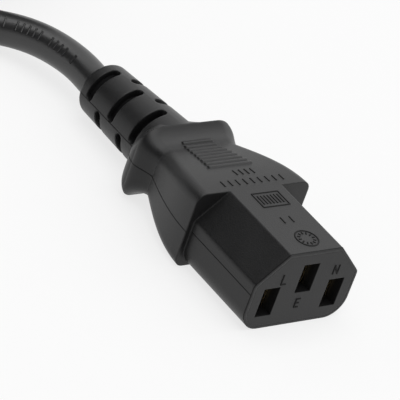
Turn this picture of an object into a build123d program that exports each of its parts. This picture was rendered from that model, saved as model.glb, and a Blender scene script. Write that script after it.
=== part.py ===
from build123d import *
import os
from math import atan, cos, degrees, radians, sqrt, tan

# Power cord in millimetres. One end is the appliance connector with three slots,
# the other an inlet plug with three blades, and the round cord between them is
# put away as a tied hank. +X points out of the connector's face, +Z is up, and
# everything lies on Z = 0 with the origin under the middle of the connector.

# Contacts, on the same spacing at both ends
contact_spacing = 14.0
earth_rise = 4.0

# Connector nose
nose_width = 22.4
nose_height = 15.0
nose_length = 18.2
nose_chamfer = 5.6
nose_foot_radius = 4.0
nose_edge_radius = 1.2
slot_width = 3.4
slot_height = 5.8

# Contact carrier in the nose
carrier_rim = 0.6
carrier_plate = 2.0
carrier_inset = 1.6
carrier_length = 22.0

# Grip behind the connector's nose: bell, finger waist and pull flange
bell_width = 24.6
bell_edge_radius = 1.9
waist_width = 17.8
waist_height = 10.2
waist_edge_radius = 2.6
bell_to_waist = 15.5
flange_width = 20.4
flange_height = 13.8
flange_edge_radius = 4.2
flange_foot_radius = 2.4
waist_to_flange = 4.6
flange_to_relief = 4.9
collar_drop = 0.6

# Finger ribs across the waist
rib_count = 9
rib_radius = 0.45
rib_height = 0.3
rib_pitch = 1.16
rib_front = 7.7
rib_length_front = 9.4
rib_length_rear = 6.4

# Slotted strain relief, the same on both ends
relief_length = 19.2
relief_front_radius = 6.2
relief_rear_radius = 5.2
relief_rim_radius = 1.0
relief_lift = 0.2
relief_root = 3.5
relief_root_sink = 0.8
relief_slot_rows = 5
relief_slot_first = 1.2
relief_slot_pitch = 3.65
relief_slot_width = 1.9
relief_slot_wall = 1.0

# Round cord and the three cores inside it
cord_diameter = 6.4
core_diameter = 2.3
core_circle = 1.36
strand_diameter = 1.3
jacket_end = 5.0
jacket_bend = 6.4
core_bend_radius = 3.5
core_straight = 2.4

# Sheet metal contacts
leaf_thickness = 0.4
leaf_spread = 1.3
leaf_pinch = 0.95
leaf_mouth = 1.4
leaf_mouth_length = 3.2
contact_front = 2.4
contact_back = 13.4
barrel_diameter = 2.2
barrel_length = 5.4
strand_bare = 0.5

# Inlet plug: shroud, blades and the bridge that carries them
shroud_width = 28.4
shroud_height = 20.6
shroud_chamfer = 6.2
shroud_foot_radius = 3.4
shroud_wall = 1.9
shroud_depth = 17.5
shroud_length = 21.0
bridge_thickness = 4.0
blade_width = 4.0
blade_thickness = 2.0
blade_setback = 1.2
blade_tip = 0.7
plug_waist_width = 19.0
plug_waist_height = 13.0
plug_flange_width = 22.4
plug_flange_height = 15.4
plug_edge_radius = 5.0
plug_collar_drop = 4.0

# Hank of the cord that is put away: two turns side by side in each of two layers,
# and a fifth turn on top of the outer ones
hank_fold_radius = 19.2
hank_waist_radius = 48.0
hank_columns = 2
hank_layers = 3
hank_centre = (-138.0, -12.3)
hank_edge_radius = 2.6

# Tie round the waist of the hank
tie_width = 9.0
tie_thickness = 1.2
tie_stand_out = 0.4
tie_corner_radius = 3.0

# Cord routes outside the hank, as points chosen by hand. The first and the last
# point of each are worked out from the moulding or the hank that they start in.
lead_turns = [(-41.0, 0.0, 4.7), (-53.4, -5.4, 3.6), (-64.8, -17.1, 3.25)]
lead_finish = (-75.2, -29.1, 3.2)
tail_start = (-178.3, 13.2, 15.8)
tail_turns = [(-166.3, 11.3, 17.2), (-153.8, 5.9, 21.4), (-141.8, 2.5, 24.1)]
plug_rear = (-135.8, 2.5)
turn_share = 0.45

body_length = bell_to_waist + waist_to_flange + flange_to_relief
connector_length = nose_length + body_length + relief_length
plug_length = shroud_length + body_length + relief_length
cord_radius = cord_diameter / 2
relief_tilt = degrees(atan((relief_front_radius - relief_rear_radius) / relief_length))
contact_places = {
    "live": (-contact_spacing / 2, -earth_rise / 2),
    "neutral": (contact_spacing / 2, -earth_rise / 2),
    "earth": (0.0, earth_rise / 2),
}


# Outlines across the part
def keyed_outline(width, height, chamfer_size, foot_radius, edge_radius):
    side, top = width / 2, height / 2
    corners = [
        (-side, -top),
        (side, -top),
        (side, top - chamfer_size),
        (side - chamfer_size, top),
        (chamfer_size - side, top),
        (-side, top - chamfer_size),
    ]
    outline = make_face(Polyline(*corners, close=True))
    feet = outline.vertices().sort_by(Axis.Y)[:2]
    outline = fillet(feet, foot_radius)
    shoulders = outline.vertices().filter_by_position(
        Axis.Y, top - chamfer_size - 0.01, top - chamfer_size + 0.01
    )
    return fillet(shoulders, edge_radius)


def across(x, shape):
    return Plane.YZ.offset(x) * shape


def grip_section(x, width, top, bottom, edge_radius, foot_radius):
    section = Pos(0, (top + bottom) / 2) * Rectangle(width, top - bottom)
    section = fillet(section.vertices().sort_by(Axis.Y)[:2], foot_radius)
    section = fillet(section.vertices().sort_by(Axis.Y)[-2:], edge_radius)
    return across(x, section)


def prism(outline, x_front, x_back):
    return extrude(across(x_front, outline), amount=x_front - x_back, dir=(-1, 0, 0))


def eased(start, end, share):
    return start + (end - start) * (1 - cos(radians(90 * share)))


def along_x(radius, x_front, x_back):
    bar = Cylinder(radius, x_front - x_back, align=(Align.CENTER, Align.CENTER, Align.MIN))
    return Pos(x_back, 0, 0) * Rot(Y=90) * bar


# Grip from the bell or shroud back to the strain relief. Its underside is level
# with the nose at both ends, and the waist is drawn in on all four sides.
def grip_half_height(front_height, waist, x):
    return eased(front_height, waist, min(x / bell_to_waist, 1)) / 2


def grip(front, front_width, front_height, front_edge, waist, flange, drop):
    waist_w, waist_h = waist
    flange_w, flange_h = flange
    bell = []
    for step in range(5):
        share = step / 4
        width = eased(front_width, waist_w, share)
        half = grip_half_height(front_height, waist_h, share * bell_to_waist)
        edge = front_edge + (waist_edge_radius - front_edge) * share
        bell.append(grip_section(front - share * bell_to_waist, width, half, -half, edge, edge))
    waist_x = front - bell_to_waist
    flange_x = waist_x - waist_to_flange
    half = flange_h / 2
    foot = -front_height / 2
    low = max(-half - drop, foot)
    rise = []
    for share, out, up in ((0.0, 0.0, 0.0), (0.35, 0.42, 0.03), (0.65, 0.92, 0.32), (1.0, 1.0, 1.0)):
        width = waist_w + (flange_w - waist_w) * out
        top = (waist_h + (flange_h - waist_h) * up) / 2
        bottom = -waist_h / 2 + (low + waist_h / 2) * up
        edge = waist_edge_radius + (flange_edge_radius - waist_edge_radius) * up
        toe = waist_edge_radius + (flange_foot_radius - waist_edge_radius) * up
        rise.append(grip_section(waist_x - share * waist_to_flange, width, top, bottom, edge, toe))
    collar = relief_front_radius - relief_root_sink
    collar_top = foot + relief_lift + relief_front_radius + collar
    collar_low = collar_top - 2 * collar
    fall = []
    for share in (0.0, 0.15, 0.4, 0.7, 1.0):
        width = 2 * collar + (flange_w - 2 * collar) * (1 - share**2)
        top = collar_top + (half - collar_top) * (1 - share) ** 2
        edge = flange_edge_radius + (collar - 0.05 - flange_edge_radius) * share
        toe = flange_foot_radius + (collar - 0.05 - flange_foot_radius) * share
        x = flange_x - share * flange_to_relief
        bottom = low + (collar_low - low) * share**2
        fall.append(grip_section(x, width, top, bottom, edge, toe))
    return loft(bell) + loft(rise) + loft(fall)


# Strain relief: a cone with staggered quarter slots, lying on its lower edge
def relief_axis(front, foot):
    lift = foot + relief_lift + relief_front_radius
    return Pos(front, 0, lift) * Rot(Y=-relief_tilt)


def quarter_slot(x, floor_radius, quarter):
    depth = relief_front_radius + 1 - floor_radius
    strip = Pos(x, floor_radius + depth / 2) * Rectangle(relief_slot_width, depth)
    swing = degrees(relief_slot_width / 2 / relief_rear_radius)
    ring = revolve(Plane.XZ * strip, axis=Axis.X, revolution_arc=90 - 2 * swing)
    end = Pos(x, 0, floor_radius) * Cylinder(
        relief_slot_width / 2, depth, align=(Align.CENTER, Align.CENTER, Align.MIN)
    )
    return Rot(X=90 * quarter + swing) * (ring + end + Rot(X=90 - 2 * swing) * end)


def strain_relief(front, foot):
    slope = (relief_front_radius - relief_rear_radius) / relief_length
    root_radius = relief_front_radius + slope * relief_root
    profile = make_face(
        Polyline(
            (relief_root, 0),
            (relief_root, root_radius),
            (-relief_length, relief_rear_radius),
            (-relief_length, 0),
            close=True,
        )
    )
    rim = profile.vertices().sort_by(Axis.X)[:2].sort_by(Axis.Y)[-1]
    profile = fillet(rim, relief_rim_radius)
    cone = revolve(Plane.XZ * profile, axis=Axis.X)
    floor_radius = cord_radius + relief_slot_wall
    slots = []
    for row in range(relief_slot_rows):
        x = -relief_slot_first - row * relief_slot_pitch
        first = row % 2
        slots += [quarter_slot(x, floor_radius, first), quarter_slot(x, floor_radius, first + 2)]
    return relief_axis(front, foot) * (cone - slots)


# Finger ribs on the slope between bell and waist, above and below
def finger_ribs(front, front_height, waist_h):
    ribs = []
    for number in range(rib_count):
        back = rib_front + number * rib_pitch
        share = number / (rib_count - 1)
        length = rib_length_front + (rib_length_rear - rib_length_front) * share
        height = grip_half_height(front_height, waist_h, back) - rib_radius + rib_height
        rib = Rot(X=90) * Cylinder(rib_radius, length)
        ribs += [Pos(front - back, 0, height) * rib, Pos(front - back, 0, -height) * rib]
    return ribs


# A round wire along straight runs and arcs
def wire(points, diameter, radii):
    path = FilletPolyline(*points, radius=radii)
    start = Plane(path @ 0, z_dir=path % 0)
    return sweep(start * Circle(diameter / 2), path=path)


def run_length(a, b):
    return (Vector(*b) - Vector(*a)).length


def route_radii(points):
    radii = []
    for before, here, after in zip(points, points[1:], points[2:]):
        into = Vector(*here) - Vector(*before)
        out = Vector(*after) - Vector(*here)
        half = radians(into.get_angle(out)) / 2
        radii.append(turn_share * min(into.length, out.length) / tan(half))
    return radii


# Cores from the crimps to the end of the jacket, and the bare ends of their wires
def core_places():
    across_circle = core_circle * sqrt(3) / 2
    return {
        "live": (-across_circle, -core_circle / 2),
        "neutral": (across_circle, -core_circle / 2),
        "earth": (0.0, core_circle),
    }


def jacket_start(front, foot):
    bend = (relief_axis(front, foot) * Pos(-jacket_bend, 0, 0)).position
    return (front + jacket_end, 0, bend.Z), tuple(bend)


def wire_end(name, front, strand_front, crimp_back, foot):
    y, z = contact_places[name]
    core_y, core_z = core_places()[name]
    end_x, _, end_z = jacket_start(front, foot)[0]
    start = crimp_back - strand_bare
    points = [
        (start, y, z),
        (start - core_straight, y, z),
        (end_x + core_straight, core_y, end_z + core_z),
        (end_x, core_y, end_z + core_z),
    ]
    core = wire(points, core_diameter, core_bend_radius)
    strands = Pos(0, y, z) * along_x(strand_diameter / 2, strand_front, start)
    return core, strands


def crimp_barrel(x_front):
    outer = along_x(barrel_diameter / 2, x_front, x_front - barrel_length)
    return outer - along_x(strand_diameter / 2, x_front, x_front - barrel_length)


# Connector
def slot_holes(x_back):
    holes = []
    for y, z in contact_places.values():
        holes.append(Pos(0, y, z) * prism(Rectangle(slot_width, slot_height), 0, x_back))
    return holes


def connector_carrier():
    nose = keyed_outline(nose_width, nose_height, nose_chamfer, nose_foot_radius, nose_edge_radius)
    plate = prism(offset(nose, amount=-carrier_rim), 0, -carrier_plate)
    block = prism(offset(nose, amount=-carrier_inset), -carrier_plate, -carrier_length)
    return plate + block


def spring_contact():
    leaf = Polyline(
        (-contact_back, 0),
        (-contact_back, leaf_spread),
        (-contact_front - leaf_mouth_length, leaf_pinch),
        (-contact_front, leaf_mouth),
    )
    half = trace(leaf, line_width=leaf_thickness)
    fork = extrude(half + mirror(half, about=Plane.XZ), amount=slot_height / 2, both=True)
    return fork + crimp_barrel(-contact_back)


def connector_parts():
    outline = keyed_outline(nose_width, nose_height, nose_chamfer, nose_foot_radius, nose_edge_radius)
    foot = -nose_height / 2
    waist = (waist_width, waist_height)
    flange = (flange_width, flange_height)
    relief_front = -nose_length - body_length
    body = prism(outline, 0, -nose_length - 1)
    body += grip(
        -nose_length, bell_width, nose_height, bell_edge_radius, waist, flange, collar_drop
    )
    body += strain_relief(relief_front, foot)
    body += finger_ribs(-nose_length, nose_height, waist_height)
    carrier = connector_carrier()
    body -= carrier
    parts = {"connector_carrier": carrier - slot_holes(-carrier_length)}
    contact = spring_contact()
    strand_front = -contact_back - leaf_thickness / 2
    crimp_back = -contact_back - barrel_length
    for name, (y, z) in contact_places.items():
        seated = Pos(0, y, z) * contact
        parts["connector_contact_" + name] = seated
        core, strands = wire_end(name, relief_front, strand_front, crimp_back, foot)
        parts["connector_core_" + name] = core
        parts["connector_strands_" + name] = strands
        body -= [seated, core]
    parts["connector_overmould"] = body
    return parts


# Plug
def blade():
    flat = prism(Rectangle(blade_thickness, blade_width), -blade_setback, -shroud_depth - bridge_thickness)
    tip = flat.faces().sort_by(Axis.X)[-1]
    flat = chamfer(tip.edges(), blade_tip)
    stem = Pos(-shroud_depth - bridge_thickness, 0, 0) * crimp_barrel(0)
    return flat + stem


def plug_parts():
    outline = keyed_outline(
        shroud_width, shroud_height, shroud_chamfer, shroud_foot_radius, nose_edge_radius
    )
    cavity = offset(outline, amount=-shroud_wall)
    foot = -shroud_height / 2
    waist = (plug_waist_width, plug_waist_height)
    flange = (plug_flange_width, plug_flange_height)
    relief_front = -shroud_length - body_length
    bridge = prism(cavity, -shroud_depth, -shroud_depth - bridge_thickness)
    body = prism(outline, 0, -shroud_length - 1)
    body += grip(
        -shroud_length, shroud_width, shroud_height, plug_edge_radius, waist, flange, plug_collar_drop
    )
    body += strain_relief(relief_front, foot)
    body -= prism(cavity, 0, -shroud_depth - bridge_thickness)
    parts = {}
    pin = blade()
    strand_front = -shroud_depth - bridge_thickness
    crimp_back = strand_front - barrel_length
    for name, (y, z) in contact_places.items():
        place = Pos(0, -y, z)
        parts["plug_blade_" + name] = place * pin
        bridge -= place * prism(
            Rectangle(blade_thickness, blade_width), 0, -shroud_depth - bridge_thickness
        )
        core, strands = wire_end(name, relief_front, strand_front, crimp_back, foot)
        core = mirror(core, about=Plane.XZ)
        strands = mirror(strands, about=Plane.XZ)
        parts["plug_core_" + name] = core
        parts["plug_strands_" + name] = strands
        body -= place * along_x(barrel_diameter / 2, strand_front, crimp_back)
        body -= [core, strands]
    parts["plug_carrier"] = bridge
    parts["plug_overmould"] = body
    return parts


# Hank: folds of one radius at both ends, drawn together at the tie
def hank_outline(fold, half_waist, bend):
    reach = sqrt((fold - half_waist) * (fold + half_waist + 2 * bend))
    join = fold / (fold + bend)
    x, y = reach * (1 - join), (half_waist + bend) * join
    arcs = [
        ThreePointArc((x, y), (reach + fold, 0), (x, -y)),
        ThreePointArc((x, -y), (0, -half_waist), (-x, -y)),
        ThreePointArc((-x, -y), (-reach - fold, 0), (-x, y)),
        ThreePointArc((-x, y), (0, half_waist), (x, y)),
    ]
    return make_face(arcs[0] + arcs[1] + arcs[2] + arcs[3])


def hank_reach():
    gap = hank_fold_radius - cord_radius
    return sqrt(gap * (hank_fold_radius + cord_radius + 2 * hank_waist_radius))


# Opening in one fold, between the innermost turns
def hank_eye():
    inner = hank_fold_radius - cord_radius
    bow = hank_waist_radius + cord_radius
    x, y = hank_reach() * (1 - inner / (inner + bow)), inner / (inner + bow) * bow
    start_x, middle_x = tie_width, (tie_width + x) / 2
    start_y, middle_y = (bow - sqrt(bow**2 - at**2) for at in (start_x, middle_x))
    sides = [
        ThreePointArc((x, y), (hank_reach() + inner, 0), (x, -y)),
        ThreePointArc((x, -y), (middle_x, -middle_y), (start_x, -start_y)),
        Line((start_x, -start_y), (start_x, start_y)),
        ThreePointArc((start_x, start_y), (middle_x, middle_y), (x, y)),
    ]
    return make_face(sides[0] + sides[1] + sides[2] + sides[3])


def tie_band(stand_out, thickness):
    height = hank_layers * cord_diameter
    width = 2 * (hank_columns * cord_diameter + stand_out)
    outline = RectangleRounded(
        height - 2 * thickness, width - 2 * thickness, tie_corner_radius - thickness
    )
    return Pos(0, 0, height / 2) * Rot(Y=90) * extrude(outline, amount=tie_width / 2, both=True)


def hank_parts():
    outer = (hank_columns - 1) * cord_diameter + cord_radius
    half_waist = hank_columns * cord_diameter
    height = hank_layers * cord_diameter
    outline = hank_outline(hank_fold_radius + outer, half_waist, hank_waist_radius - outer)
    block = extrude(outline, amount=height)
    rims = block.edges().group_by(Axis.Z)
    block = fillet(rims[0] + rims[-1], hank_edge_radius)
    inner = hank_outline(
        hank_fold_radius + cord_radius, cord_diameter, hank_waist_radius - cord_radius
    )
    hollow = Pos(0, 0, height - cord_diameter) * extrude(inner, amount=height)
    eye = extrude(hank_eye(), amount=height)
    hole = tie_band(tie_stand_out, tie_thickness)
    groove = Box(tie_width, 6 * half_waist, 3 * height) - hole
    tie = tie_band(tie_stand_out, 0) - hole
    place = Pos(hank_centre[0], hank_centre[1], 0)
    block = block - hollow - eye - mirror(eye, about=Plane.YZ) - groove
    return place * block, place * tie


# Everything in its place
connector_place = Pos(connector_length / 2, 0, nose_height / 2)
hank, tie = hank_parts()
hank_top = hank_layers * cord_diameter
plug_place = Pos(plug_rear[0] + plug_length, plug_rear[1], hank_top + shroud_height / 2)



def placed(place, points):
    return [tuple((place * Pos(point)).position) for point in points]


connector_jacket = jacket_start(-nose_length - body_length, -nose_height / 2)
plug_jacket = jacket_start(-shroud_length - body_length, -shroud_height / 2)
lead_points = placed(connector_place, connector_jacket) + lead_turns + [lead_finish]
tail_points = [tail_start] + tail_turns + placed(plug_place, plug_jacket)[::-1]

parts = {name: connector_place * shape for name, shape in connector_parts().items()}
parts.update({name: plug_place * shape for name, shape in plug_parts().items()})
for name, points, holder in (
    ("cord_lead", lead_points, "connector_overmould"),
    ("cord_tail", tail_points, "plug_overmould"),
):
    radii = route_radii(points)
    tube = wire(points, cord_diameter, radii)
    runs = [run_length(a, b) for a, b in zip(points, points[1:])]
    path_length = FilletPolyline(*points, radius=radii).length
    section = Circle(cord_radius).area
    print(name, "runs", [round(r, 1) for r in runs], "radii", [round(r, 1) for r in radii])
    print(name, "volume over section and length", round(tube.volume / section / path_length, 4))
    parts[holder] -= tube
    parts[name] = tube - hank
parts["cord_hank"] = hank
parts["hank_tie"] = tie

os.makedirs("parts", exist_ok=True)
for name, shape in parts.items():
    export_step(shape, "parts/" + name + ".step")
print(len(parts), "nodes")
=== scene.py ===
import math

import bpy
from mathutils import Matrix, Vector
from mathutils.bvhtree import BVHTree


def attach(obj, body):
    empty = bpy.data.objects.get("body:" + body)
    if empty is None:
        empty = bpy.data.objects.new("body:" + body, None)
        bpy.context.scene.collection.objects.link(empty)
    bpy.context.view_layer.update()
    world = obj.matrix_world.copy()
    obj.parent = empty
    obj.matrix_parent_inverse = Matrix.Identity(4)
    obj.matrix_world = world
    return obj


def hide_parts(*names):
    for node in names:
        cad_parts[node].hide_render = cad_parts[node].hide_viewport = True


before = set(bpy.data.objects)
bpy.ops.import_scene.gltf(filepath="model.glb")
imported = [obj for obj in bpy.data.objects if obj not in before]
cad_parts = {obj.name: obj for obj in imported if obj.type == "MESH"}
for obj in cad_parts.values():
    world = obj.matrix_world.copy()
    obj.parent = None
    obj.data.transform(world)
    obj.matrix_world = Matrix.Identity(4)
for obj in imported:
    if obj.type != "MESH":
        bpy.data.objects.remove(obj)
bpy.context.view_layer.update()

# The connector end of a black power cord, lying on a white table with its slots
# towards the camera. The rest of the cord is a tied hank with the inlet plug on it.
mm = 0.001
scene = bpy.context.scene


# Camera, light and table
shot = {
    "place": (0.32590, -0.33166, 0.28033),
    "right": (0.547727, 0.782420, 0.296335),
    "up": (-0.582254, 0.102122, 0.806568),
    "back": (0.600812, -0.614321, 0.511502),
    "lens": 281.29,
}


def placeCamera():
    camera = bpy.data.objects.new("camera", bpy.data.cameras.new("camera"))
    scene.collection.objects.link(camera)
    camera.data.sensor_width = 36.0
    camera.data.lens = shot["lens"]
    camera.data.clip_start, camera.data.clip_end = 0.01, 20.0
    turn = Matrix((shot["right"], shot["up"], shot["back"])).transposed()
    camera.matrix_world = Matrix.Translation(shot["place"]) @ turn.to_4x4()
    scene.camera = camera
    scene.view_settings.view_transform = "Standard"


studio = {
    "ambient": 0.50,  # what diffuse surfaces see of the world
    "white": 1.0,  # what the camera and reflections see of it
    "topSize": 1.1, "topHeight": 1.15, "topPower": 6.6,
    "sideSize": 0.7, "sidePower": 2.3, "sidePlace": (-0.15, 0.95, 0.75),
    "flagSize": (1.9, 0.62), "flagAway": 0.70, "flagTowards": (-0.08, -0.78, 0.62),
    "flagTone": 0.02,
    "floorTone": 0.9, "floorGlow": 0.75, "floorSide": 8.0, "floorHeight": -2e-5,
}


def seenMask(nodes, links):
    path = nodes.new("ShaderNodeLightPath")
    first = nodes.new("ShaderNodeMath")
    first.operation = "MAXIMUM"
    links.new(path.outputs["Is Camera Ray"], first.inputs[0])
    links.new(path.outputs["Is Glossy Ray"], first.inputs[1])
    second = nodes.new("ShaderNodeMath")
    second.operation = "MAXIMUM"
    links.new(first.outputs[0], second.inputs[0])
    links.new(path.outputs["Is Transmission Ray"], second.inputs[1])
    return second.outputs[0]


def lightWorld():
    world = bpy.data.worlds.new("whiteRoom")
    scene.world = world
    world.use_nodes = True
    nodes, links = world.node_tree.nodes, world.node_tree.links
    nodes.clear()
    soft, seen = nodes.new("ShaderNodeBackground"), nodes.new("ShaderNodeBackground")
    soft.inputs["Color"].default_value = (1, 1, 1, 1)
    soft.inputs["Strength"].default_value = studio["ambient"]
    seen.inputs["Color"].default_value = (1, 1, 1, 1)
    seen.inputs["Strength"].default_value = studio["white"]
    mix, out = nodes.new("ShaderNodeMixShader"), nodes.new("ShaderNodeOutputWorld")
    links.new(seenMask(nodes, links), mix.inputs["Fac"])
    links.new(soft.outputs[0], mix.inputs[1])
    links.new(seen.outputs[0], mix.inputs[2])
    links.new(mix.outputs[0], out.inputs["Surface"])


def addLamp(name, place, size, power):
    lamp = bpy.data.lights.new(name, "AREA")
    lamp.size, lamp.energy = size, power
    holder = bpy.data.objects.new(name, lamp)
    scene.collection.objects.link(holder)
    aim = Vector((0, 0, 0.01)) - Vector(place)
    turn = aim.to_track_quat("-Z", "Y").to_matrix().to_4x4()
    holder.matrix_world = Matrix.Translation(place) @ turn


def stageSheet(name, corners, material):
    mesh = bpy.data.meshes.new(name)
    mesh.from_pydata([tuple(corner) for corner in corners], [], [(0, 1, 2, 3)])
    sheet = bpy.data.objects.new(name, mesh)
    scene.collection.objects.link(sheet)
    mesh.materials.append(material)
    return sheet


def floorPaper():
    material, nodes, links, shader = newMaterial("floorPaper", 0.9)
    coords, noise = nodes.new("ShaderNodeTexCoord"), nodes.new("ShaderNodeTexNoise")
    noise.inputs["Scale"].default_value = 180.0
    links.new(coords.outputs["Object"], noise.inputs["Vector"])
    tone = studio["floorTone"]
    tint = colourRamp(nodes, noise.outputs["Fac"], links, (tone * 0.99,) * 3, (tone,) * 3)
    links.new(tint, shader.inputs["Base Color"])
    shader.inputs["Specular IOR Level"].default_value = 0.1
    glow, mix = nodes.new("ShaderNodeEmission"), nodes.new("ShaderNodeMixShader")
    glow.inputs["Color"].default_value = (1, 1, 1, 1)
    share = nodes.new("ShaderNodeMath")
    share.operation = "MULTIPLY"
    share.inputs[1].default_value = studio["floorGlow"]
    links.new(seenMask(nodes, links), share.inputs[0])
    links.new(share.outputs[0], mix.inputs["Fac"])
    links.new(shader.outputs[0], mix.inputs[1])
    links.new(glow.outputs[0], mix.inputs[2])
    links.new(mix.outputs[0], nodes["Material Output"].inputs["Surface"])
    return material


def buildStudio():
    lightWorld()
    size = studio["topSize"]
    addLamp("topSoftbox", (0, 0, studio["topHeight"]), size, studio["topPower"])
    addLamp("backSoftbox", studio["sidePlace"], studio["sideSize"], studio["sidePower"])
    side, low = studio["floorSide"] / 2, studio["floorHeight"]
    floor = [(-side, -side, low), (side, -side, low), (side, side, low), (-side, side, low)]
    stageSheet("floor", floor, floorPaper())
    towards = Vector(studio["flagTowards"]).normalized()
    across = Vector((0, 0, 1)).cross(towards).normalized()
    upright = towards.cross(across)
    wide, tall = (half / 2 for half in studio["flagSize"])
    middle = towards * studio["flagAway"]
    ends = ((-1, -1), (1, -1), (1, 1), (-1, 1))
    corners = [middle + across * wide * x + upright * tall * y for x, y in ends]
    black, *rest, shader = newMaterial("flagCloth", 0.9)
    shader.inputs["Base Color"].default_value = (*(studio["flagTone"],) * 3, 1)
    shader.inputs["Specular IOR Level"].default_value = 0.0
    flag = stageSheet("blackFlag", corners, black)
    flag.visible_camera = flag.visible_diffuse = flag.visible_shadow = False
    print("studio: camera, two softboxes, table and black flag")


# Material helpers
def newMaterial(name, roughness):
    material = bpy.data.materials.new(name)
    material.use_nodes = True
    nodes, links = material.node_tree.nodes, material.node_tree.links
    shader = nodes["Principled BSDF"]
    shader.inputs["Roughness"].default_value = roughness
    return material, nodes, links, shader


def colourRamp(nodes, factor, links, low, high, start=0.3, end=0.7):
    ramp = nodes.new("ShaderNodeValToRGB")
    ramp.color_ramp.elements[0].position = start
    ramp.color_ramp.elements[1].position = end
    ramp.color_ramp.elements[0].color = (*low, 1)
    ramp.color_ramp.elements[1].color = (*high, 1)
    links.new(factor, ramp.inputs["Fac"])
    return ramp.outputs["Color"]


def mapRange(nodes, links, value, low, high):
    node = nodes.new("ShaderNodeMapRange")
    node.inputs["From Min"].default_value = 0.25
    node.inputs["From Max"].default_value = 0.75
    node.inputs["To Min"].default_value = low
    node.inputs["To Max"].default_value = high
    links.new(value, node.inputs["Value"])
    return node.outputs["Result"]


def mathNode(nodes, links, operation, first, second):
    node = nodes.new("ShaderNodeMath")
    node.operation = operation
    for socket, value in zip(node.inputs, (first, second)):
        if isinstance(value, (int, float)):
            socket.default_value = value
        elif value is not None:
            links.new(value, socket)
    return node.outputs[0]


def newGroup(name, inputs, outputs):
    group = bpy.data.node_groups.new(name, "ShaderNodeTree")
    for label, kind, value in inputs:
        socket = group.interface.new_socket(label, in_out="INPUT", socket_type=kind)
        if value is not None:
            socket.default_value = value
    for label, kind in outputs:
        group.interface.new_socket(label, in_out="OUTPUT", socket_type=kind)
    nodes = group.nodes
    return group, nodes, group.links, nodes.new("NodeGroupInput"), nodes.new("NodeGroupOutput")


def buildMouldGrain():
    group, nodes, links, given, out = newGroup(
        "mouldGrain",
        [
            ("Position", "NodeSocketVector", None),
            ("Grain Size", "NodeSocketFloat", 0.0002),
            ("Flow Size", "NodeSocketFloat", 0.006),
            ("Flow Share", "NodeSocketFloat", 0.4),
        ],
        [("Height", "NodeSocketFloat"), ("Tone", "NodeSocketFloat")],
    )
    grain, flow = nodes.new("ShaderNodeTexNoise"), nodes.new("ShaderNodeTexNoise")
    for noise, label, detail in ((grain, "Grain Size", 3.0), (flow, "Flow Size", 2.0)):
        scale = mathNode(nodes, links, "DIVIDE", 1.0, given.outputs[label])
        links.new(scale, noise.inputs["Scale"])
        links.new(given.outputs["Position"], noise.inputs["Vector"])
        noise.inputs["Detail"].default_value = detail
    flowPart = mathNode(nodes, links, "MULTIPLY", flow.outputs["Fac"], given.outputs["Flow Share"])
    rest = mathNode(nodes, links, "SUBTRACT", 1.0, given.outputs["Flow Share"])
    grainPart = mathNode(nodes, links, "MULTIPLY", grain.outputs["Fac"], rest)
    links.new(mathNode(nodes, links, "ADD", flowPart, grainPart), out.inputs["Tone"])
    links.new(grain.outputs["Fac"], out.inputs["Height"])
    return group


# How far a point lies under the cone of a strain relief, as a mask for painted shade: it dulls the
# reflection on the slot floors so they render dark
reliefs = {  # front x, middle y, axis z
    "connector": (-0.0120, 0.0, 0.0064), "plug": (-0.1166, 0.0025, 0.0256),
}
# shine is the reflection level left on the slot floors, which paints shade into them
reliefCone = {
    "radius": 0.0062, "slope": 1 / 19.2, "length": 0.0190, "lip": 0.0001,
    "skin": 0.00025, "deep": 0.0010, "shine": 0.05,
}


def buildSlotShadeDepth():
    group, nodes, links, given, out = newGroup(
        "slotShadeDepth",
        [
            ("Position", "NodeSocketVector", None),
            ("Front", "NodeSocketFloat", -0.012),
            ("Middle", "NodeSocketFloat", 0.0),
            ("Axis", "NodeSocketFloat", 0.0064),
        ],
        [("Mask", "NodeSocketFloat")],
    )
    parts = nodes.new("ShaderNodeSeparateXYZ")
    links.new(given.outputs["Position"], parts.inputs[0])
    back = mathNode(nodes, links, "SUBTRACT", parts.outputs["X"], given.outputs["Front"])
    fall = mathNode(nodes, links, "MULTIPLY", back, reliefCone["slope"])
    side = mathNode(nodes, links, "SUBTRACT", parts.outputs["Y"], given.outputs["Middle"])
    axis = mathNode(nodes, links, "ADD", given.outputs["Axis"], fall)
    rise = mathNode(nodes, links, "SUBTRACT", parts.outputs["Z"], axis)
    square = mathNode(nodes, links, "ADD", mathNode(nodes, links, "MULTIPLY", side, side),
                      mathNode(nodes, links, "MULTIPLY", rise, rise))
    skin = mathNode(nodes, links, "ADD", fall, reliefCone["radius"])
    depth = mathNode(nodes, links, "SUBTRACT", skin, mathNode(nodes, links, "SQRT", square, None))
    ramp = nodes.new("ShaderNodeMapRange")
    ramp.inputs["From Min"].default_value = reliefCone["skin"]
    ramp.inputs["From Max"].default_value = reliefCone["deep"]
    links.new(depth, ramp.inputs["Value"])
    before = mathNode(nodes, links, "LESS_THAN", back, -reliefCone["lip"])
    behind = mathNode(nodes, links, "GREATER_THAN", back, -reliefCone["length"])
    inside = mathNode(nodes, links, "MULTIPLY", before, behind)
    masked = mathNode(nodes, links, "MULTIPLY", ramp.outputs["Result"], inside)
    links.new(masked, out.inputs["Mask"])
    return group


mouldGrain = buildMouldGrain()
slotShadeDepth = buildSlotShadeDepth()


def paintedSlotShade(nodes, links, coords):
    masks = []
    for front, middle, axis in reliefs.values():
        depth = nodes.new("ShaderNodeGroup")
        depth.node_tree = slotShadeDepth
        for label, value in (("Front", front), ("Middle", middle), ("Axis", axis)):
            depth.inputs[label].default_value = value
        links.new(coords.outputs["Object"], depth.inputs["Position"])
        masks.append(depth.outputs["Mask"])
    return mathNode(nodes, links, "MAXIMUM", *masks)


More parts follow.
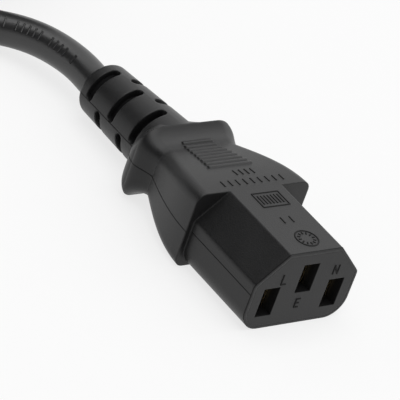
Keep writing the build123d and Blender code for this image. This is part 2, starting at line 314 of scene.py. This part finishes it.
def plastic(name, look):
    material, nodes, links, shader = newMaterial(name, 0.5)
    coords, grain = nodes.new("ShaderNodeTexCoord"), nodes.new("ShaderNodeGroup")
    grain.node_tree = mouldGrain
    grain.inputs["Grain Size"].default_value = look["grain"]
    grain.inputs["Flow Size"].default_value = look["flow"]
    grain.inputs["Flow Share"].default_value = 0.45
    links.new(coords.outputs["Object"], grain.inputs["Position"])
    low = [part * (1 - look["spread"]) for part in look["colour"]]
    high = [part * (1 + look["spread"]) for part in look["colour"]]
    tint = colourRamp(nodes, grain.outputs["Tone"], links, low, high)
    links.new(tint, shader.inputs["Base Color"])
    rough = mapRange(nodes, links, grain.outputs["Tone"], look["smooth"], look["rough"])
    links.new(rough, shader.inputs["Roughness"])
    bump = nodes.new("ShaderNodeBump")
    bump.inputs["Strength"].default_value = look["bump"]
    bump.inputs["Distance"].default_value = look["grain"]
    links.new(grain.outputs["Height"], bump.inputs["Height"])
    if look.get("edge"):
        edge = nodes.new("ShaderNodeBevel")
        edge.samples = 6
        edge.inputs["Radius"].default_value = look["edge"]
        links.new(edge.outputs["Normal"], bump.inputs["Normal"])
    links.new(bump.outputs["Normal"], shader.inputs["Normal"])
    shine = look.get("shine", 0.5)
    shader.inputs["Specular IOR Level"].default_value = shine
    # painted shade: the strain-relief slot floors lose most of their reflection and render dark
    if look.get("slots"):
        mask = paintedSlotShade(nodes, links, coords)
        shadedSlotShine = nodes.new("ShaderNodeMapRange")
        shadedSlotShine.inputs["To Min"].default_value = shine
        shadedSlotShine.inputs["To Max"].default_value = reliefCone["shine"]
        links.new(mask, shadedSlotShine.inputs["Value"])
        links.new(shadedSlotShine.outputs["Result"], shader.inputs["Specular IOR Level"])
    return material


def metal(name, look):
    material, nodes, links, shader = newMaterial(name, 0.3)
    coords, stretch = nodes.new("ShaderNodeTexCoord"), nodes.new("ShaderNodeMapping")
    stretch.inputs["Scale"].default_value = look["stretch"]
    links.new(coords.outputs["Object"], stretch.inputs["Vector"])
    grain = nodes.new("ShaderNodeGroup")
    grain.node_tree = mouldGrain
    grain.inputs["Grain Size"].default_value = look["grain"]
    grain.inputs["Flow Size"].default_value = look["flow"]
    links.new(stretch.outputs["Vector"], grain.inputs["Position"])
    low = [part * 0.82 for part in look["colour"]]
    tint = colourRamp(nodes, grain.outputs["Tone"], links, low, look["colour"])
    links.new(tint, shader.inputs["Base Color"])
    rough = mapRange(nodes, links, grain.outputs["Tone"], look["smooth"], look["rough"])
    links.new(rough, shader.inputs["Roughness"])
    shader.inputs["Metallic"].default_value = 1.0
    bump = nodes.new("ShaderNodeBump")
    bump.inputs["Strength"].default_value = 0.15
    bump.inputs["Distance"].default_value = look["grain"]
    links.new(grain.outputs["Height"], bump.inputs["Height"])
    links.new(bump.outputs["Normal"], shader.inputs["Normal"])
    return material


finishes = {
    # mouldedVinyl also paints shade into the strain-relief slot floors
    "mouldedVinyl": {"colour": (0.0100, 0.0100, 0.0104), "spread": 0.14, "grain": 0.00022,
                     "flow": 0.007, "smooth": 0.34, "rough": 0.46, "bump": 0.14,
                     "edge": 0.0004, "shine": 0.36, "slots": True},
    "cordVinyl": {"colour": (0.016, 0.016, 0.0164), "spread": 0.15, "grain": 0.0003, "flow": 0.012,
                  "smooth": 0.28, "rough": 0.38, "bump": 0.05, "shine": 0.70},
    "carrierNylon": {"colour": (0.0100, 0.0100, 0.0104), "spread": 0.12, "grain": 0.00022,
                     "flow": 0.007, "smooth": 0.36, "rough": 0.46, "bump": 0.14,
                     "edge": 0.00015, "shine": 0.36},
    # seams, pole letters and mould marks: a darker vinyl as painted shade in the moulded lines
    "paintedLineShade": {"colour": (0.004, 0.004, 0.004), "spread": 0.2, "grain": 0.0002, "flow": 0.004,
                  "smooth": 0.55, "rough": 0.7, "bump": 0.10, "shine": 0.2},
    "brownCore": {"colour": (0.14, 0.05, 0.02), "spread": 0.12, "grain": 0.0003, "flow": 0.004,
                  "smooth": 0.35, "rough": 0.5, "bump": 0.1},
    "blueCore": {"colour": (0.02, 0.09, 0.34), "spread": 0.12, "grain": 0.0003, "flow": 0.004,
                 "smooth": 0.35, "rough": 0.5, "bump": 0.1},
    # darker than bare brass: painted shade, for contacts that sit deep in the carrier's holes
    "shadedSpringBrass": {"colour": (0.32, 0.25, 0.13), "grain": 0.0003, "flow": 0.003,
                    "smooth": 0.32, "rough": 0.52, "stretch": (0.2, 1.0, 1.0)},
    "platedBlade": {"colour": (0.74, 0.73, 0.70), "grain": 0.0002, "flow": 0.004,
                    "smooth": 0.16, "rough": 0.32, "stretch": (0.15, 1.0, 1.0)},
    "copperStrand": {"colour": (0.85, 0.42, 0.24), "grain": 0.0002, "flow": 0.001,
                     "smooth": 0.25, "rough": 0.45, "stretch": (0.2, 1.0, 1.0)},
}


def earthCore():
    material, nodes, links, shader = newMaterial("earthCore", 0.42)
    coords, stripes = nodes.new("ShaderNodeTexCoord"), nodes.new("ShaderNodeTexWave")
    stripes.bands_direction = "Z"
    stripes.inputs["Scale"].default_value = 140.0
    stripes.inputs["Distortion"].default_value = 0.3
    links.new(coords.outputs["Object"], stripes.inputs["Vector"])
    green, yellow = (0.03, 0.22, 0.04), (0.72, 0.60, 0.04)
    tint = colourRamp(nodes, stripes.outputs["Fac"], links, green, yellow, 0.48, 0.52)
    links.new(tint, shader.inputs["Base Color"])
    return material


def makeFinishes():
    made = {}
    for name, look in finishes.items():
        made[name] = metal(name, look) if "stretch" in look else plastic(name, look)
    made["earthCore"] = earthCore()
    return made


# Geometry node trees
def newTree(name, inputs):
    tree = bpy.data.node_groups.new(name, "GeometryNodeTree")
    tree.interface.new_socket("Geometry", in_out="INPUT", socket_type="NodeSocketGeometry")
    for label, kind, value in inputs:
        socket = tree.interface.new_socket(label, in_out="INPUT", socket_type=kind)
        if value is not None:
            socket.default_value = value
    tree.interface.new_socket("Geometry", in_out="OUTPUT", socket_type="NodeSocketGeometry")
    nodes = tree.nodes
    return tree, nodes, tree.links, nodes.new("NodeGroupInput"), nodes.new("NodeGroupOutput")


def closeTree(nodes, links, given, out, geometry):
    smooth = nodes.new("GeometryNodeSetShadeSmooth")
    real, paint = nodes.new("GeometryNodeRealizeInstances"), nodes.new("GeometryNodeSetMaterial")
    links.new(geometry, real.inputs["Geometry"])
    links.new(real.outputs["Geometry"], smooth.inputs["Geometry"])
    links.new(smooth.outputs["Geometry"], paint.inputs["Geometry"])
    links.new(given.outputs["Finish"], paint.inputs["Material"])
    links.new(paint.outputs["Geometry"], out.inputs["Geometry"])


def buildStrokeTree():
    tree, nodes, links, given, out = newTree(
        "raisedStrokes",
        [
            ("Stroke Radius", "NodeSocketFloat", 0.00014),
            ("Sides", "NodeSocketInt", 8),
            ("Finish", "NodeSocketMaterial", None),
        ],
    )
    line = nodes.new("GeometryNodeCurvePrimitiveLine")
    ring = nodes.new("GeometryNodeCurvePrimitiveCircle")
    line.inputs["Start"].default_value = (-0.5, 0, 0)
    line.inputs["End"].default_value = (0.5, 0, 0)
    links.new(given.outputs["Sides"], ring.inputs["Resolution"])
    links.new(given.outputs["Stroke Radius"], ring.inputs["Radius"])
    count = nodes.new("GeometryNodeResampleCurve")
    count.inputs["Count"].default_value = 6
    links.new(line.outputs["Curve"], count.inputs["Curve"])
    sweep = nodes.new("GeometryNodeCurveToMesh")
    sweep.inputs["Fill Caps"].default_value = True
    links.new(count.outputs["Curve"], sweep.inputs["Curve"])
    links.new(ring.outputs["Curve"], sweep.inputs["Profile Curve"])
    turn = nodes.new("FunctionNodeAxesToRotation")
    turn.primary_axis, turn.secondary_axis = "Z", "X"
    size, place = nodes.new("ShaderNodeCombineXYZ"), nodes.new("GeometryNodeInstanceOnPoints")
    size.inputs["Y"].default_value = size.inputs["Z"].default_value = 1.0
    for label, kind, socket in (
        ("out", "FLOAT_VECTOR", turn.inputs["Primary Axis"]),
        ("along", "FLOAT_VECTOR", turn.inputs["Secondary Axis"]),
        ("reach", "FLOAT", size.inputs["X"]),
    ):
        read = nodes.new("GeometryNodeInputNamedAttribute")
        read.data_type = kind
        read.inputs["Name"].default_value = label
        links.new(next(found for found in read.outputs if found.enabled), socket)
    links.new(given.outputs["Geometry"], place.inputs["Points"])
    links.new(sweep.outputs["Mesh"], place.inputs["Instance"])
    links.new(turn.outputs["Rotation"], place.inputs["Rotation"])
    links.new(size.outputs["Vector"], place.inputs["Scale"])
    closeTree(nodes, links, given, out, place.outputs["Instances"])
    return tree


def buildBeadTree():
    tree, nodes, links, given, out = newTree(
        "beadAlongLine",
        [
            ("Bead Radius", "NodeSocketFloat", 0.0001),
            ("Spacing", "NodeSocketFloat", 0.0004),
            ("Finish", "NodeSocketMaterial", None),
        ],
    )
    curve = nodes.new("GeometryNodeMeshToCurve")
    ring = nodes.new("GeometryNodeCurvePrimitiveCircle")
    links.new(given.outputs["Geometry"], curve.inputs["Mesh"])
    step = nodes.new("GeometryNodeResampleCurve")
    step.mode = "LENGTH"
    links.new(given.outputs["Spacing"], step.inputs["Length"])
    links.new(curve.outputs["Curve"], step.inputs["Curve"])
    ring.inputs["Resolution"].default_value = 8
    links.new(given.outputs["Bead Radius"], ring.inputs["Radius"])
    sweep = nodes.new("GeometryNodeCurveToMesh")
    sweep.inputs["Fill Caps"].default_value = True
    links.new(step.outputs["Curve"], sweep.inputs["Curve"])
    links.new(ring.outputs["Curve"], sweep.inputs["Profile Curve"])
    closeTree(nodes, links, given, out, sweep.outputs["Mesh"])
    return tree


def grow(name, mesh, tree, values):
    seed = bpy.data.objects.new(name + "Seed", mesh)
    scene.collection.objects.link(seed)
    modifier = seed.modifiers.new("grow", "NODES")
    modifier.node_group = tree
    for socket in tree.interface.items_tree:
        if socket.in_out == "INPUT" and socket.name in values:
            modifier[socket.identifier] = values[socket.name]
    grown = seed.evaluated_get(bpy.context.evaluated_depsgraph_get())
    result = bpy.data.meshes.new_from_object(grown)
    seed.modifiers.clear()
    bpy.data.objects.remove(seed)
    result.name = name
    piece = bpy.data.objects.new(name, result)
    scene.collection.objects.link(piece)
    return piece


def strokeMesh(strokes):
    mesh = bpy.data.meshes.new("strokes")
    middles = [(Vector(a) + Vector(b)) / 2 for a, b, out in strokes]
    mesh.from_pydata([tuple(middle) for middle in middles], [], [])
    for label, kind in (("along", "FLOAT_VECTOR"), ("out", "FLOAT_VECTOR"), ("reach", "FLOAT")):
        mesh.attributes.new(label, kind, "POINT")
    for number, (a, b, out) in enumerate(strokes):
        run = Vector(b) - Vector(a)
        mesh.attributes["along"].data[number].vector = run.normalized()
        mesh.attributes["out"].data[number].vector = Vector(out)
        mesh.attributes["reach"].data[number].value = run.length
    return mesh


def ridePiece(piece):
    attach(piece, "root")
    return piece


# Cord: one NURBS spline from inside the connector, through the hank, into the plug
cordSizes = {
    "diameter": 6.4 * mm,
    "lead": [(-7.0, 0.0, 6.07), (-18.39, 0.0, 6.07), (-30.5, 0.0, 5.0), (-39.9, -0.2, 5.6),
             (-49.3, -3.9, 5.3), (-57.0, -10.5, 3.2), (-69.3, -23.6, 3.2), (-75.9, -31.3, 3.2)],
    "tail": [(-178.3, 13.7, 15.9), (-166.3, 11.3, 17.2), (-153.8, 5.9, 21.4), (-141.8, 2.5, 24.1),
             (-122.99, 2.5, 25.27), (-111.6, 2.5, 25.27)],
    "exit": (-0.0312, 0.0, 0.0053),
    "middle": (-138.0, -12.3),
    "foldReach": 43.53, "foldRadius": 19.6, "waistReach": 51.2, "waistRadius": 47.6,
    "join": 49.6, "pitch": 6.4, "spread": 0.5, "lift": 0.9,
    "step": 9.6, "firstPlace": 0.745, "lastPlace": 18.80,
    "ring": 1.25 * mm, "sides": 36,
    "lobe": 0.030, "lobePitch": 0.15, "lobeTurn": 1.9, "lobePower": 0.6,
}


# One turn is four legs: right fold, near waist, left fold, far waist. A place on it is
# the leg's number plus the share of the leg, and the turns are walked clockwise.
def turnLeg(place, spread):
    fold, waist = cordSizes["foldRadius"] + spread, cordSizes["waistRadius"] - spread
    leg, share = int(place) % 4, place % 1.0
    side = 1 if leg < 2 else -1
    x, y = cordSizes["middle"]
    join = cordSizes["join"]
    if leg % 2 == 0:
        swing = 360 - 2 * join
        angle = (180 - join if side > 0 else -join) - share * swing
        return x + side * cordSizes["foldReach"], y, fold, angle, fold * math.radians(swing)
    swing = 180 - 2 * join
    angle = side * (90 - side * (0.5 - share) * swing)
    return x, y - side * cordSizes["waistReach"], waist, angle, waist * math.radians(swing)


def turnPoint(place, spread, height):
    x, y, radius, angle, length = turnLeg(place, spread)
    step, turn, share = cordSizes["step"] / radius, math.radians(angle), place % 1.0
    push = radius / (0.75 + 0.25 * math.cos(step)) - radius
    away = min(share, 1 - share) * length / cordSizes["step"]
    pushed = radius + push * min(1.0, 2 * away)  # none where the bend changes side
    if int(place) % 2:
        height += cordSizes["lift"] * math.sin(math.pi * share) ** 2
    return (x + pushed * math.cos(turn), y + pushed * math.sin(turn), height)


def nextPlace(place, spread):
    left = (1 - place % 1.0) * turnLeg(place, spread)[4]
    if left >= cordSizes["step"]:
        return place + cordSizes["step"] / turnLeg(place, spread)[4]
    leg = int(place) + 1
    return leg + (cordSizes["step"] - left) / turnLeg(leg, spread)[4]


def blendAt(place, changes, start):
    value = start
    for begin, end, target in changes:
        share = min(max((place - begin) / (end - begin), 0.0), 1.0)
        value += (target - value) * share * share * (3 - 2 * share)
    return value


def hankPoints():
    low, middle, top = (cordSizes["pitch"] * (0.5 + layer) for layer in range(3))
    outer, inner = cordSizes["spread"] + cordSizes["pitch"], cordSizes["spread"]
    spreads = [(4.18, 4.62, inner), (11.58, 12.20, outer)]
    heights = [(8.02, 8.40, middle), (15.36, 15.84, top)]
    points, place = [], cordSizes["firstPlace"]
    while place < cordSizes["lastPlace"]:
        spread = blendAt(place, spreads, outer)
        points.append(turnPoint(place, spread, blendAt(place, heights, low)))
        place = nextPlace(place, spread)
    return points


def splineLine(points):
    curve = bpy.data.curves.new("cordLine", "CURVE")
    curve.dimensions = "3D"
    curve.resolution_u = 8
    spline = curve.splines.new("NURBS")
    spline.points.add(len(points) - 1)
    for point, (x, y, z) in zip(spline.points, points):
        point.co = (x * mm, y * mm, z * mm, 1.0)
    spline.order_u = 3
    spline.use_endpoint_u = True
    holder = bpy.data.objects.new("cordLine", curve)
    scene.collection.objects.link(holder)
    bpy.context.view_layer.update()
    dense = bpy.data.meshes.new_from_object(holder)
    line = [vertex.co.copy() for vertex in dense.vertices]
    bpy.data.meshes.remove(dense)
    bpy.data.objects.remove(holder)
    return line


def evenLine(line, spacing):
    lengths = [0.0]
    for a, b in zip(line, line[1:]):
        lengths.append(lengths[-1] + (b - a).length)
    count = int(lengths[-1] / spacing)
    even, at = [], 0
    for number in range(count + 1):
        goal = lengths[-1] * number / count
        while at < len(line) - 2 and lengths[at + 1] < goal:
            at += 1
        span = lengths[at + 1] - lengths[at]
        even.append(line[at].lerp(line[at + 1], (goal - lengths[at]) / span if span else 0.0))
    return even, lengths[-1]


def lineFrames(line):
    frames = []
    side = Vector((0, 1, 0))
    for number, here in enumerate(line):
        before, after = line[max(number - 1, 0)], line[min(number + 1, len(line) - 1)]
        run = (after - before).normalized()
        side = (side - run * side.dot(run)).normalized()
        frames.append((here, run, side, run.cross(side)))
    return frames


def tubeMesh(name, frames, sides, radiusAt):
    vertices, faces, corners = [], [], []
    for number, (here, _, side, up) in enumerate(frames):
        for step in range(sides):
            angle = 2 * math.pi * step / sides
            radius = radiusAt(number, angle)
            vertices.append(here + (side * math.cos(angle) + up * math.sin(angle)) * radius)
    for number in range(len(frames) - 1):
        for step in range(sides):
            a, b = number * sides + step, number * sides + (step + 1) % sides
            faces.append((a, b, b + sides, a + sides))
            corners.append(((number, step), (number, step + 1),
                            (number + 1, step + 1), (number + 1, step)))
    last = (len(frames) - 1) * sides
    faces.append(tuple(reversed(range(sides))))
    faces.append(tuple(last + step for step in range(sides)))
    mesh = bpy.data.meshes.new(name)
    mesh.from_pydata([tuple(vertex) for vertex in vertices], [], faces)
    layer = mesh.uv_layers.new(name="UVMap")
    spots = [(number * 0.01, step / sides) for corner in corners for number, step in corner]
    for loop, (u, v) in enumerate(spots):
        layer.data[loop].uv = (u, v)
    for polygon in mesh.polygons:
        polygon.use_smooth = polygon.loop_total == 4
    return mesh


def buildCord(made):
    points = cordSizes["lead"] + hankPoints() + cordSizes["tail"]
    line, length = evenLine(splineLine(points), cordSizes["ring"])
    frames = lineFrames(line)
    half = cordSizes["diameter"] / 2
    spacing = length / (len(line) - 1)

    def radiusAt(number, angle):
        twist = 2 * math.pi * number * spacing / cordSizes["lobePitch"] + cordSizes["lobeTurn"]
        lobe = abs(math.cos(1.5 * (angle - twist)))
        return half * (1 + cordSizes["lobe"] * (lobe ** cordSizes["lobePower"] - 1.0))

    mesh = tubeMesh("power_lead", frames, cordSizes["sides"], radiusAt)
    mesh.materials.append(made["cordVinyl"])
    cord = bpy.data.objects.new("power_lead", mesh)
    scene.collection.objects.link(cord)
    ridePiece(cord)
    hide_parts("cord_lead", "cord_hank", "cord_tail")
    print("cord: %.3f m, %d control points" % (length, len(points)))
    return cord, line, frames, length


# Raised strokes along the lead
legend = {"start": 0.0325, "step": 0.00135, "count": 34, "gap": 6, "angles": (-2.46, -2.08),
          "radius": 0.19 * mm, "tall": 0.95 * mm, "sink": 0.03 * mm}


def buildLegend(made, frames, length):
    half = cordSizes["diameter"] / 2
    spacing = length / (len(frames) - 1)
    strokes = []
    for number in range(legend["count"]):
        if number % legend["gap"] == legend["gap"] - 1:
            continue
        here, run, side, up = frames[int((legend["start"] + number * legend["step"]) / spacing)]
        begin, end = legend["angles"]
        angle = begin + (end - begin) * number / legend["count"]
        out = side * math.cos(angle) + up * math.sin(angle)
        across = run.cross(out) * legend["tall"]
        base = here + out * (half - legend["sink"])
        strokes.append((base - across, base + across, out))
    values = {"Stroke Radius": legend["radius"], "Sides": 8, "Finish": made["cordVinyl"]}
    return ridePiece(grow("lead_strokes", strokeMesh(strokes), strokeTree, values))


# Connector and plug: their CAD solids, with finishes that paint shade into the strain-relief slot
# floors, and seams and moulded marks drawn in painted shade
nodeFinishes = {
    "connector_overmould": "mouldedVinyl", "connector_carrier": "carrierNylon",
    "plug_overmould": "mouldedVinyl", "plug_carrier": "carrierNylon",
    "connector_contact_": "shadedSpringBrass", "plug_blade_": "platedBlade",
    "connector_strands_": "copperStrand", "plug_strands_": "copperStrand",
    "connector_core_live": "brownCore", "plug_core_live": "brownCore",
    "connector_core_neutral": "blueCore", "plug_core_neutral": "blueCore",
    "connector_core_earth": "earthCore", "plug_core_earth": "earthCore",
}


def dressNodes(made):
    for name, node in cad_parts.items():
        for start, finish in nodeFinishes.items():
            if name.startswith(start):
                node.data.materials.clear()
                node.data.materials.append(made[finish])
    print("finishes: %d on the CAD nodes" % len(nodeFinishes))


def surfaceOf(name):
    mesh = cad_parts[name].data
    return BVHTree.FromPolygons(
        [vertex.co.copy() for vertex in mesh.vertices],
        [tuple(polygon.vertices) for polygon in mesh.polygons],
    )


seams = {
    "radius": 0.13 * mm, "sink": 0.075 * mm, "step": 0.3 * mm, "jump": 0.5 * mm,
    "spacing": 0.4 * mm, "reach": 50, "rimSteps": 150, "rimStart": 205, "rimTurn": 230,
    "connector": [{"x": (31.0, -11.6), "z": (7.4, 7.4)}, {"x": (-12.3, -30.4), "z": (6.4, 5.5)}],
    "plug": [{"x": (-71.0, -116.6), "z": (28.9, 28.9)}, {"x": (-116.9, -135.0), "z": (25.6, 24.7)}],
    "rim": (31.02, 7.4),
}


def seamLines(surface, side, values, middle):
    (start, end), (low, high) = values["x"], values["z"]
    lines = [[]]
    steps = int(abs(end - start) * mm / seams["step"])
    for number in range(steps + 1):
        share = number / steps
        x, z = start + (end - start) * share, low + (high - low) * share
        origin = Vector((x, middle + side * seams["reach"], z)) * mm
        hit = surface.ray_cast(origin, Vector((0, -side, 0)))[0]
        if hit is None:
            continue
        if lines[-1] and abs(hit.y - lines[-1][-1].y) > seams["jump"]:
            lines.append([])  # broken by a slot of the strain relief
        lines[-1].append(hit - Vector((0, side, 0)) * seams["sink"])
    return [line for line in lines if len(line) > 3]


def rimLine(surface, x, z):
    line = []
    for number in range(seams["rimSteps"] + 1):
        turn = math.radians(seams["rimStart"] - seams["rimTurn"] * number / seams["rimSteps"])
        outward = Vector((0, math.cos(turn), math.sin(turn)))
        origin = Vector((x * mm, 0, z * mm)) + outward * seams["reach"] * mm
        hit, normal = surface.ray_cast(origin, -outward)[:2]
        line.append(hit - normal * seams["sink"])
    return line


def lineMesh(name, lines):
    vertices, edges = [], []
    for line in lines:
        first = len(vertices)
        vertices += [tuple(point) for point in line]
        edges += [(first + step, first + step + 1) for step in range(len(line) - 1)]
    mesh = bpy.data.meshes.new(name)
    mesh.from_pydata(vertices, edges, [])
    return mesh


def buildSeams(made, name, node, runs, middle, rim=None):
    surface = surfaceOf(node)
    lines = []
    for values in runs:
        for side in (1, -1):
            lines += seamLines(surface, side, values, middle)
    if rim:
        lines.append(rimLine(surface, *rim))
    # the seam beads are darker than the body: painted shade along the parting lines and the front rim
    sizes = {"Bead Radius": seams["radius"], "Spacing": seams["spacing"], "Finish": made["paintedLineShade"]}
    return ridePiece(grow(name, lineMesh(name, lines), beadTree, sizes))


faceMarks = {
    "radius": 0.19 * mm, "face": 31.15,
    # strokes as (y, z) pairs from the middle of each letter, in millimetres
    "letters": {
        "live": ((-5.0, 9.9), 1.0, [((-0.5, 1), (-0.5, -1)), ((-0.5, -1), (0.5, -1))]),
        "earth": ((-0.1, 4.3), 0.85, [((-0.5, 1), (-0.5, -1)), ((-0.5, 1), (0.5, 1)),
                                     ((-0.5, 0), (0.4, 0)), ((-0.5, -1), (0.5, -1))]),
        "neutral": ((6.0, 10.4), 0.9, [((-0.55, 1), (-0.55, -1)), ((-0.55, 1), (0.55, -1)),
                                      ((0.55, 1), (0.55, -1))]),
    },
}


def buildFaceLetters(made):
    strokes = []
    x = faceMarks["face"] * mm
    for (y, z), size, lines in faceMarks["letters"].values():
        for (ya, za), (yb, zb) in lines:
            a = Vector((x, (y + ya * size) * mm, (z + za * size) * mm))
            b = Vector((x, (y + yb * size) * mm, (z + zb * size) * mm))
            strokes.append((a, b, (1, 0, 0)))
    # painted shade: the letters are darker than the face
    values = {"Stroke Radius": faceMarks["radius"], "Sides": 8, "Finish": made["paintedLineShade"]}
    return ridePiece(grow("pole_letters", strokeMesh(strokes), strokeTree, values))


topMarks = {
    "radius": 0.19 * mm, "top": 14.93, "sink": 0.07 * mm,
    "frame": (16.4, 0.7, 5.7, 3.8),  # middle x and y, size across and along
    "bars": 7, "barReach": 0.3,
    "dashes": (22.2, -0.9, 2, 1.9, 0.8),  # x, first y, count, step and half length
    "ring": (27.5, 0.4, 2.1, 28),  # middle x and y, radius and sides
    "ticks": (12, 0.55, 0.8),
    "rows": [(8.0, -0.9, 4, 1.25), (10.9, -5.7, 9, 1.6)],  # x, first y, count and step of the bars
    "rowReach": 0.75 * mm,
}


def buildTopMarks(made):
    strokes, z = [], topMarks["top"] * mm
    x, y, wide, long = topMarks["frame"]

    def stroke(xa, ya, xb, yb):
        strokes.append((Vector((xa * mm, ya * mm, z)), Vector((xb * mm, yb * mm, z)), (0, 0, 1)))

    surface = surfaceOf("connector_overmould")
    for row, first, count, gap in topMarks["rows"]:
        for number in range(count):
            spot = Vector((row, first + number * gap, 2 * topMarks["top"])) * mm
            hit, normal = surface.ray_cast(spot, Vector((0, 0, -1)))[:2]
            along = Vector((1, 0, -normal.x / normal.z)) * topMarks["rowReach"]
            base = hit - normal * topMarks["sink"]
            strokes.append((base - along, base + along, normal))
    for side in (-1, 1):
        stroke(x + side * long / 2, y - wide / 2, x + side * long / 2, y + wide / 2)
        stroke(x - long / 2, y + side * wide / 2, x + long / 2, y + side * wide / 2)
    for number in range(topMarks["bars"]):
        across = y - wide / 2 + wide * (number + 1) / (topMarks["bars"] + 1)
        stroke(x - long * topMarks["barReach"], across, x + long * topMarks["barReach"], across)
    x, y, count, step, reach = topMarks["dashes"]
    for number in range(count):
        stroke(x - reach, y + number * step, x + reach, y + number * step)
    x, y, radius, count = topMarks["ring"]
    for number in range(count):
        turn, ahead = 2 * math.pi * number / count, 2 * math.pi * (number + 1) / count
        stroke(x + radius * math.cos(turn), y + radius * math.sin(turn),
               x + radius * math.cos(ahead), y + radius * math.sin(ahead))
    count, inner, outer = topMarks["ticks"]
    for number in range(count):
        turn = 2 * math.pi * number / count
        stroke(x + inner * radius * math.cos(turn), y + inner * radius * math.sin(turn),
               x + outer * radius * math.cos(turn), y + outer * radius * math.sin(turn))
    # painted shade: the marks are darker than the top
    values = {"Stroke Radius": topMarks["radius"], "Sides": 8, "Finish": made["paintedLineShade"]}
    return ridePiece(grow("mould_marks", strokeMesh(strokes), strokeTree, values))


# Hook-and-loop strap round the waist of the hank
strap = {
    "x": -138.0, "y": -12.3, "halfWidth": 13.8, "low": 0.45, "high": 20.55, "corner": 3.6,
    "width": 9.0, "thick": 0.85, "step": 0.6, "colour": (0.012, 0.012, 0.013),
    "start": -3.0, "ramp": 1.6, "tail": (0.5, 1.1, 1.6, 4, 8, 11),
}


def strapCloth():
    material, nodes, links, shader = newMaterial("strapWeave", 0.85)
    coords, weave = nodes.new("ShaderNodeUVMap"), nodes.new("ShaderNodeTexBrick")
    coords.uv_map = "UVMap"
    links.new(coords.outputs["UV"], weave.inputs["Vector"])
    weave.inputs["Scale"].default_value = 1800.0
    weave.inputs["Mortar Size"].default_value = 0.12
    colour = strap["colour"]
    weave.inputs["Color1"].default_value = (*(part * 1.5 for part in colour), 1)
    weave.inputs["Color2"].default_value = (*colour, 1)
    weave.inputs["Mortar"].default_value = (*(part * 0.3 for part in colour), 1)
    links.new(weave.outputs["Color"], shader.inputs["Base Color"])
    fuzz, both = nodes.new("ShaderNodeTexNoise"), nodes.new("ShaderNodeMath")
    fuzz.inputs["Scale"].default_value = 4000.0
    links.new(nodes.new("ShaderNodeTexCoord").outputs["Object"], fuzz.inputs["Vector"])
    both.operation = "SUBTRACT"
    links.new(fuzz.outputs["Fac"], both.inputs[0])
    links.new(weave.outputs["Fac"], both.inputs[1])
    bump = nodes.new("ShaderNodeBump")
    bump.inputs["Strength"].default_value = 0.5
    bump.inputs["Distance"].default_value = 0.0002
    links.new(both.outputs[0], bump.inputs["Height"])
    links.new(bump.outputs["Normal"], shader.inputs["Normal"])
    shader.inputs["Sheen Weight"].default_value = 0.3
    return material


def strapPath():
    half, low, high, corner = strap["halfWidth"], strap["low"], strap["high"], strap["corner"]
    turns = [(half - corner, high - corner, 90), (half - corner, low + corner, 0),
             (corner - half, low + corner, -90), (corner - half, high - corner, 180)]
    loop = []
    for y, z, start in turns:
        for step in range(7):
            turn = math.radians(start - 15 * step)
            loop.append((y + corner * math.cos(turn), z + corner * math.sin(turn),
                         math.cos(turn), math.sin(turn)))
    first = (strap["start"], high, 0.0, 1.0)
    path = [first] + loop + [first]
    lifted = 0.93 * strap["thick"]
    for at in strap["tail"]:
        path.append((first[0] + at, high + lifted * min(at / strap["ramp"], 1.0), 0.0, 1.0))
    return path


def buildStrap(made):
    path = [Vector((0, strap["y"] + y, z)) for y, z, *_ in strapPath()]
    normals = [Vector((0, ny, nz)) for *_, ny, nz in strapPath()]
    fine, outs = [], []
    for a, b, na, nb in zip(path, path[1:], normals, normals[1:]):
        count = max(int((b - a).length / strap["step"]), 1)
        for step in range(count):
            fine.append(a.lerp(b, step / count))
            outs.append(na.lerp(nb, step / count).normalized())
    fine.append(path[-1])
    outs.append(normals[-1])
    spots = [0.0]
    for a, b in zip(fine, fine[1:]):
        spots.append(spots[-1] + (b - a).length)
    half, thick = strap["width"] / 2, strap["thick"] / 2
    section = [(-1, -0.5), (-0.97, -1), (-0.5, -1), (0, -1), (0.5, -1), (0.97, -1), (1, -0.5),
               (1, 0.5), (0.97, 1), (0.5, 1), (0, 1), (-0.5, 1), (-0.97, 1), (-1, 0.5)]
    vertices, faces, uvs = [], [], []
    for here, out, spot in zip(fine, outs, spots):
        left = min(spots[-1] - spot + 0.15, half)
        wide = math.sqrt(half * half - (half - left) ** 2)
        for across, up in section:
            point = here + out * thick * up + Vector((strap["x"] + across * wide, 0, 0))
            vertices.append(tuple(point * mm))
            uvs.append((spot * mm, across * wide * mm))
    sides = len(section)
    for number in range(len(fine) - 1):
        for step in range(sides):
            a, b = number * sides + step, number * sides + (step + 1) % sides
            faces.append((a, a + sides, b + sides, b))
    last = (len(fine) - 1) * sides
    faces += [tuple(range(sides)), tuple(last + step for step in reversed(range(sides)))]
    mesh = bpy.data.meshes.new("hank_strap")
    mesh.from_pydata(vertices, [], faces)
    layer = mesh.uv_layers.new(name="UVMap")
    for loop in mesh.loops:
        layer.data[loop.index].uv = uvs[loop.vertex_index]
    for polygon in mesh.polygons:
        polygon.use_smooth = True
    mesh.materials.append(strapCloth())
    piece = bpy.data.objects.new("hank_strap", mesh)
    scene.collection.objects.link(piece)
    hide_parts("hank_tie")
    return ridePiece(piece)


placeCamera()
buildStudio()
made = makeFinishes()
strokeTree, beadTree = buildStrokeTree(), buildBeadTree()
dressNodes(made)
cord, line, frames, cordLength = buildCord(made)
pieces = [
    buildLegend(made, frames, cordLength),
    buildSeams(made, "plug_seams", "plug_overmould", seams["plug"], 2.5),
    buildStrap(made),
]
buildSeams(made, "connector_seams", "connector_overmould", seams["connector"], 0.0, seams["rim"])
buildFaceLetters(made)
buildTopMarks(made)
print("marks, seams and strap built")
